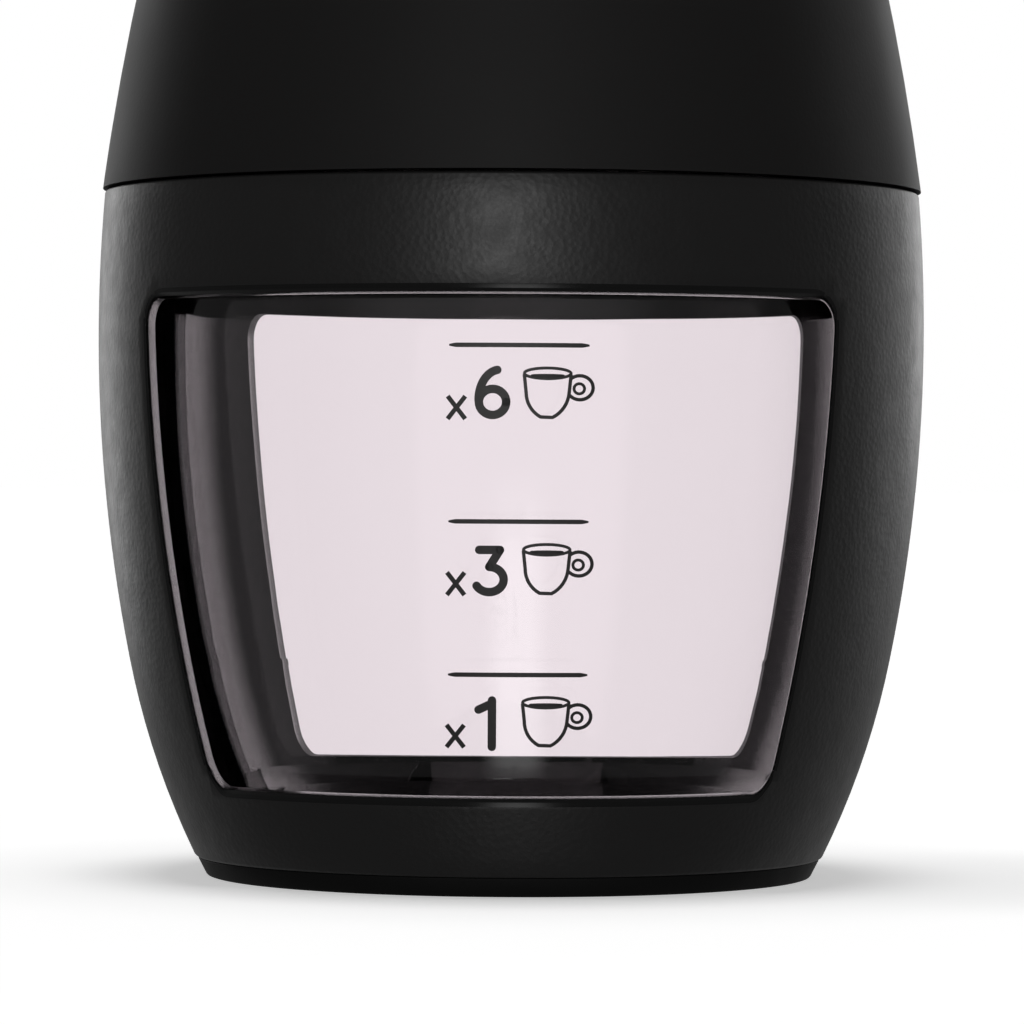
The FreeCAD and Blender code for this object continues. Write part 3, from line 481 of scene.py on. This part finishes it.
def grained_black():
    """Satin black plastic with leathery cells from the mould; the window's bevel gets the polished finish
    instead.
    """
    material, wire, shader = new_finish("grained_black_plastic", Base_Color=(0.012, 0.0115, 0.0115, 1),
                                        Specular_IOR_Level=0.42)
    cells = wire.cells(2100.0)
    patches = wire.noise(520.0, 3.0)
    fine = wire.noise(5200.0, 2.0)
    rough = patches * 0.14 + fine * 0.08 + 0.32
    relief = cells * 0.8 + patches * 0.6 + fine * 0.3
    plug(shader, Roughness=rough, Normal=wire.bump(relief, depth=0.02))
    return material


def polished_black():
    material, wire, shader = new_finish("polished_black_bevel", Base_Color=(0.006, 0.006, 0.006, 1),
                                        Specular_IOR_Level=0.3)
    plug(shader, Roughness=wire.varied(900.0, least=0.16, spread=0.08),
         Normal=wire.bump(wire.noise(700.0), depth=0.004))
    return material


def matte_inside():
    material, wire, shader = new_finish("matte_black_inside", Base_Color=(0.006, 0.006, 0.006, 1),
                                        Specular_IOR_Level=0.08)
    plug(shader, Roughness=wire.varied(900.0, least=0.7, spread=0.1),
         Normal=wire.bump(wire.noise(1500.0), depth=0.01))
    return material


shell = whole_shell()
settle(shell, "container", grained_black(), "textured_black", "container_shell")
shell.data.materials.append(polished_black())
shell.data.materials.append(matte_inside())
POLISHED, INSIDE = 1, 2
OUTER_SKIN = 0.03
INNER_SKIN = 0.1
FACES_WINDOW = 5
for face in shell.data.polygons:
    x, y, z = face.center / MM
    depth = barrel(z) - math.hypot(x, y)
    near_side = abs(x) < window_half(in_window(z)) + RIM_BEVEL
    in_height = WINDOW_LOW - RIM_BEVEL < z < WINDOW_HIGH + RIM_BEVEL
    if near_side and in_height and depth > OUTER_SKIN and abs(y) > FACES_WINDOW:
        face.material_index = POLISHED
    if depth > SHELL_WALL - INNER_SKIN and PAD_TOP + INNER_SKIN < z < SHELL_TOP - INNER_SKIN:
        face.material_index = INSIDE


# Grounds jar: one moulding of clear plastic with a thick wall and three thread lugs on its neck. It is
# pressed into the shell. A little of the light is lost in it, and the rest comes through slightly pink.
def clear_plastic(name, colour, wave=0.02):
    material, wire, shader = new_finish(name, Base_Color=(*colour, 1), Roughness=0.0, IOR=1.5,
                                        Transmission_Weight=1.0)
    plug(shader, Normal=wire.bump(wire.noise(60.0, detail=1.0), wave))
    return material


def refinish(node, material):
    """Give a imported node's mesh its own procedural finish; the shape stays as it is."""
    piece = bpy.data.objects[node]
    piece.data.materials.clear()
    piece.data.materials.append(material)


FAINT_PINK = (0.95, 0.9, 0.925)
refinish("grounds_jar", clear_plastic("clear_pink_plastic", FAINT_PINK))


# Level marks: black ink printed on the front of the jar, one line and one cup count for each of three
# fills. They are thin films that follow the jar's side.
INK_LIFT = 0.03
INK_FILM = 0.02
JAR_INSET = 2.5
MARK_TURN = math.radians(5.0)
LEVELS = ((44.15, 6), (30.2, 3), (18.0, 1))
LINE_LEFT, LINE_RIGHT, LINE_WIDTH = -4.9, 6.2, 0.36
ROW_DROP = 5.85
TIMES_LEFT, TIMES_RIGHT, TIMES_HIGH, TIMES_WIDTH = -5.0, -3.6, 1.8, 0.37
DIGIT_LEFT, DIGIT_RAISE, DIGIT_HIGH, BOLD = -2.8, 0.05, 3.75, 0.68
CUP_LEFT, CUP_HIGH = 1.0, 4.05


def ink():
    material, wire, shader = new_finish("black_ink", Base_Color=(0.02, 0.018, 0.018, 1))
    plug(shader, Roughness=wire.varied(2500.0, least=0.4, spread=0.15))
    return material


def on_jar(across, height):
    """Where a place on the flat print lies on the jar, in millimetres."""
    radius = barrel(height, JAR_INSET) + INK_LIFT
    angle = math.asin(across / radius) + MARK_TURN
    return radius * math.sin(angle), -radius * math.cos(angle), height


def stroke(path, width, closed=False, taper=False):
    """A flat ribbon in the print's plane along a path of (across, height) points."""
    count = len(path)
    corners, faces = [], []
    for number, (x, z) in enumerate(path):
        before = path[(number - 1) % count] if closed or number else path[0]
        after = path[(number + 1) % count] if closed or number < count - 1 else path[-1]
        along = (after[0] - before[0], after[1] - before[1])
        length = math.hypot(*along) or 1
        half = width / 2
        if taper:
            half *= min(1, 0.4 + 14 * min(number, count - 1 - number) / count)
        side = (-along[1] / length * half, along[0] / length * half)
        corners += [(x + side[0], z + side[1]), (x - side[0], z - side[1])]
    for number in range(count if closed else count - 1):
        a, b = 2 * number, 2 * ((number + 1) % count)
        faces.append((a, a + 1, b + 1, b))
    return corners, faces


def dot(middle, width):
    """A round end for a bold stroke."""
    corners = oval(middle, width / 2, width / 2, steps=16)[:-1]
    return corners, [tuple(range(len(corners)))]


def arc_points(start, end, radius, turn, steps):
    """The points after start on an arc to end that bends left (turn 1) or right (turn -1)."""
    across = (end[0] - start[0], end[1] - start[1])
    chord = math.hypot(*across)
    rise = math.sqrt(max(radius ** 2 - chord ** 2 / 4, 0)) * turn / chord
    centre = ((start[0] + end[0]) / 2 - across[1] * rise, (start[1] + end[1]) / 2 + across[0] * rise)
    first = math.atan2(start[1] - centre[1], start[0] - centre[0])
    sweep = 2 * math.asin(min(chord / 2 / radius, 1)) * turn
    angles = [first + sweep * step / steps for step in range(1, steps + 1)]
    return [(centre[0] + radius * math.cos(angle), centre[1] + radius * math.sin(angle)) for angle in angles]


def between(start, end, steps=12):
    """The points of a straight line, both ends with it."""
    return [(start[0] + (end[0] - start[0]) * step / steps, start[1] + (end[1] - start[1]) * step / steps)
            for step in range(steps + 1)]


def oval(middle, wide, high, first=0, last=360, steps=28):
    """The points of an oval, or of the part of it between two angles in degrees."""
    angles = [math.radians(first + (last - first) * step / steps) for step in range(steps + 1)]
    return [(middle[0] + wide * math.cos(angle), middle[1] + high * math.sin(angle)) for angle in angles]


def digit(which, left, low, high):
    """The centre lines of the counts 1, 3 and 6 in round bold strokes."""
    x, z = left, low
    if which == 1:
        return [between((x + 0.35, z + high - 0.75), (x + 1.35, z + high - 0.28), 3),
                between((x + 1.42, z + high), (x + 1.42, z))]
    if which == 3:
        bowl = oval((x + 1.15, z + 1.2), 1.15, 1.0, -150, 90)
        top = between((x + 0.35, z + high - 0.2), (x + 2.0, z + high - 0.2), 4)
        return [top, between((x + 2.0, z + high - 0.2), (x + 1.15, z + 2.2), 4), bowl]
    ring = oval((x + 1.35, z + 1.3), 1.08, 1.03, steps=32)
    stem = oval((x + 1.95, z + 1.5), 1.7, 2.35, 182, 98)
    return [ring, stem]


def cup(left, low, high):
    """Outline of a small coffee cup with its drink and an ear."""
    x, z = left, low
    rim = oval((x + 1.9, z + high - 0.42), 1.85, 0.42, steps=36)
    side = [(x + 0.05, z + high - 0.5), (x + 0.2, z + high * 0.52)] + arc_points(
        (x + 0.2, z + high * 0.52), (x + 1.35, z + 0.18), 2.2, 1, 8) + between(
        (x + 1.35, z + 0.18), (x + 2.3, z + 0.15), 4) + arc_points(
        (x + 2.3, z + 0.15), (x + 3.6, z + high * 0.52), 2.4, 1, 8) + [(x + 3.75, z + high - 0.5)]
    ear = oval((x + 4.45, z + high * 0.62), 1.05, 0.95, 138, -140, 24)
    hole = oval((x + 4.4, z + high * 0.6), 0.42, 0.4, steps=20)
    drink = oval((x + 1.9, z + high - 0.62), 1.3, 0.06, steps=24)
    closed = [(rim, 0.24, True), (hole, 0.24, True), (drink, 0.2, True)]
    return closed + [(side, 0.28, False), (ear, 0.28, False)]


def print_mark(height, count):
    """One level line with its count of cups below it, wrapped onto the jar."""
    low = height - ROW_DROP
    parts = [stroke(between((LINE_LEFT, height), (LINE_RIGHT, height), 40), LINE_WIDTH, taper=True)]
    for foot, head in ((TIMES_LEFT, TIMES_RIGHT), (TIMES_RIGHT, TIMES_LEFT)):
        parts.append(stroke(between((foot, low), (head, low + TIMES_HIGH), 4), TIMES_WIDTH))
    for path in digit(count, DIGIT_LEFT, low + DIGIT_RAISE, DIGIT_HIGH):
        parts += [stroke(path, BOLD), dot(path[0], BOLD), dot(path[-1], BOLD)]
    parts += [stroke(path, width, closed) for path, width, closed in cup(CUP_LEFT, low, CUP_HIGH)]
    places, faces = [], []
    for corners, quads in parts:
        faces += [tuple(number + len(places) for number in quad) for quad in quads]
        places += [[value * MM for value in on_jar(*corner)] for corner in corners]
    mesh = bpy.data.meshes.new(f"level_mark_{count}")
    mesh.from_pydata(places, [], faces)
    mark = bpy.data.objects.new(mesh.name, mesh)
    bpy.context.collection.objects.link(mark)
    bpy.ops.object.select_all(action="DESELECT")
    mark.select_set(True)
    bpy.context.view_layer.objects.active = mark
    film = mark.modifiers.new("film", "SOLIDIFY")
    film.thickness = INK_FILM * MM
    film.offset = 0
    bpy.ops.object.modifier_apply(modifier=film.name)
    settle(mark, "container", INK, "textured_black")


INK = ink()
for height, count in LEVELS:
    print_mark(height, count)


# Mill casing: the waisted upper body, moulded in black plastic and coated so that it feels soft and
# looks almost without shine. Its foot rests on the jar's shoulder with a narrow shadow line.
def soft_touch(name, colour):
    material, wire, shader = new_finish(name, Base_Color=(*colour, 1), Specular_IOR_Level=0.22)
    plug(shader, Roughness=wire.varied(90.0, least=0.58, spread=0.1),
         Normal=wire.bump(wire.noise(2600.0, detail=3.0), depth=0.012))
    return material


refinish("mill_casing", soft_touch("soft_touch_black", (0.0115, 0.011, 0.011)))


# Works inside the casing: the housing, bridges, hopper, rings and the grind nut are moulded in semi-matt
# black plastic and screwed together from below.
def moulded(name, colour, rough=0.45):
    material, wire, shader = new_finish(name, Base_Color=(*colour, 1), Specular_IOR_Level=0.4)
    plug(shader, Roughness=wire.varied(200.0, least=rough, spread=0.12),
         Normal=wire.bump(wire.noise(1500.0), depth=0.01))
    return material


CORE = moulded("moulded_core", (0.012, 0.012, 0.013))
for node in ("burr_housing", "bearing_bridge", "retaining_ring", "upper_bridge", "burr_carrier"):
    refinish(node, CORE)
for node in ("hopper", "hopper_rim"):
    refinish(node, moulded("moulded_" + node, (0.016, 0.016, 0.017), rough=0.4))
refinish("adjusting_nut", moulded("moulded_nut", (0.014, 0.014, 0.014), rough=0.42))


# Metal parts: zinc-plated screws, a ground shaft and washers, oiled spring steel clips, a turned hub, and
# the crank arm brushed along its length.
def metal(name, colour, rough, grain=(300.0, 300.0, 300.0), relief=0.004):
    material, wire, shader = new_finish(name, Metallic=1.0)
    lines = wire.noise(1.0, detail=3.0, at=wire.stretched(*grain))
    tone = wire.blend(lines, [part * 0.88 for part in colour], colour)
    plug(shader, Base_Color=tone, Roughness=lines * 0.14 + rough, Normal=wire.bump(lines, relief))
    return material


TURNED = (400.0, 400.0, 6000.0)
BRUSHED = (120.0, 5000.0, 5000.0)
for node, material in (
    ("housing_screws", metal("zinc_plated", (0.6, 0.61, 0.62), 0.28)),
    ("retainer_screws", metal("zinc_plated_small", (0.6, 0.61, 0.62), 0.28)),
    ("drive_shaft", metal("ground_shaft", (0.62, 0.62, 0.63), 0.16, TURNED)),
    ("thrust_washer", metal("ground_washer", (0.6, 0.6, 0.61), 0.2, TURNED)),
    ("spring_washer", metal("ground_spring_washer", (0.6, 0.6, 0.61), 0.2, TURNED)),
    ("click_plate", metal("click_steel", (0.58, 0.58, 0.59), 0.2)),
    ("shaft_clip", metal("clip_steel", (0.3, 0.3, 0.32), 0.3)),
    ("hub_clip", metal("hub_clip_steel", (0.3, 0.3, 0.32), 0.3)),
    ("burr_spring", metal("spring_wire", (0.42, 0.42, 0.44), 0.22)),
    ("nut_insert", metal("turned_brass", (0.75, 0.55, 0.25), 0.2, TURNED)),
    ("crank_hub", metal("turned_hub", (0.64, 0.64, 0.65), 0.18, TURNED)),
    ("crank_arm", metal("brushed_arm", (0.66, 0.66, 0.67), 0.26, BRUSHED, relief=0.008)),
    ("arm_washer", metal("polished_washer", (0.72, 0.72, 0.73), 0.12)),
    ("cap_nut", metal("polished_cap_nut", (0.74, 0.74, 0.75), 0.1)),
    ("knob_pin", metal("polished_pin", (0.74, 0.74, 0.75), 0.12, TURNED)),
    ("pin_washer", metal("ground_pin_washer", (0.6, 0.6, 0.61), 0.2)),
):
    refinish(node, material)


# Bearings and burrs: white acetal bushes pressed into their seats, and burrs of fired white ceramic.
def pale(name, colour, rough, relief):
    material, wire, shader = new_finish(name)
    speck = wire.noise(3000.0, detail=4.0)
    tone = wire.blend(speck, [part * 0.94 for part in colour], colour)
    plug(shader, Base_Color=tone, Roughness=speck * 0.15 + rough, Normal=wire.bump(speck, relief))
    return material


for node in ("upper_bushing", "lower_bushing", "lid_bushing", "knob_bushing"):
    refinish(node, pale("white_acetal_" + node, (0.8, 0.79, 0.75), rough=0.35, relief=0.003))
for node in ("outer_burr", "inner_burr"):
    refinish(node, pale("white_ceramic_" + node, (0.84, 0.83, 0.79), rough=0.5, relief=0.02))


# Seals: rings of grey silicone. One lies loose between the jar's neck and the mill, and the other is
# stretched round the lid's skirt and holds it in the hopper's mouth.
SEAL_GREY = (0.45, 0.45, 0.43)
refinish("neck_gasket", silicone("grey_silicone_gasket", SEAL_GREY))
refinish("lid_seal", silicone("grey_silicone_seal", SEAL_GREY))


# Lid: a dome moulded in lightly smoked clear plastic. It presses into the hopper's mouth on its seal, and
# the crank's hub turns in its middle.
SMOKED = (0.72, 0.71, 0.7)
refinish("lid", clear_plastic("smoked_plastic", SMOKED, wave=0.005))


# Knob: a turned grip with a soft black coat that spins on the pin. A plug with the same coat closes the
# hole in its top.
refinish("knob", soft_touch("knob_coat", (0.0095, 0.009, 0.009)))
refinish("knob_plug", soft_touch("plug_coat", (0.012, 0.0115, 0.0115)))
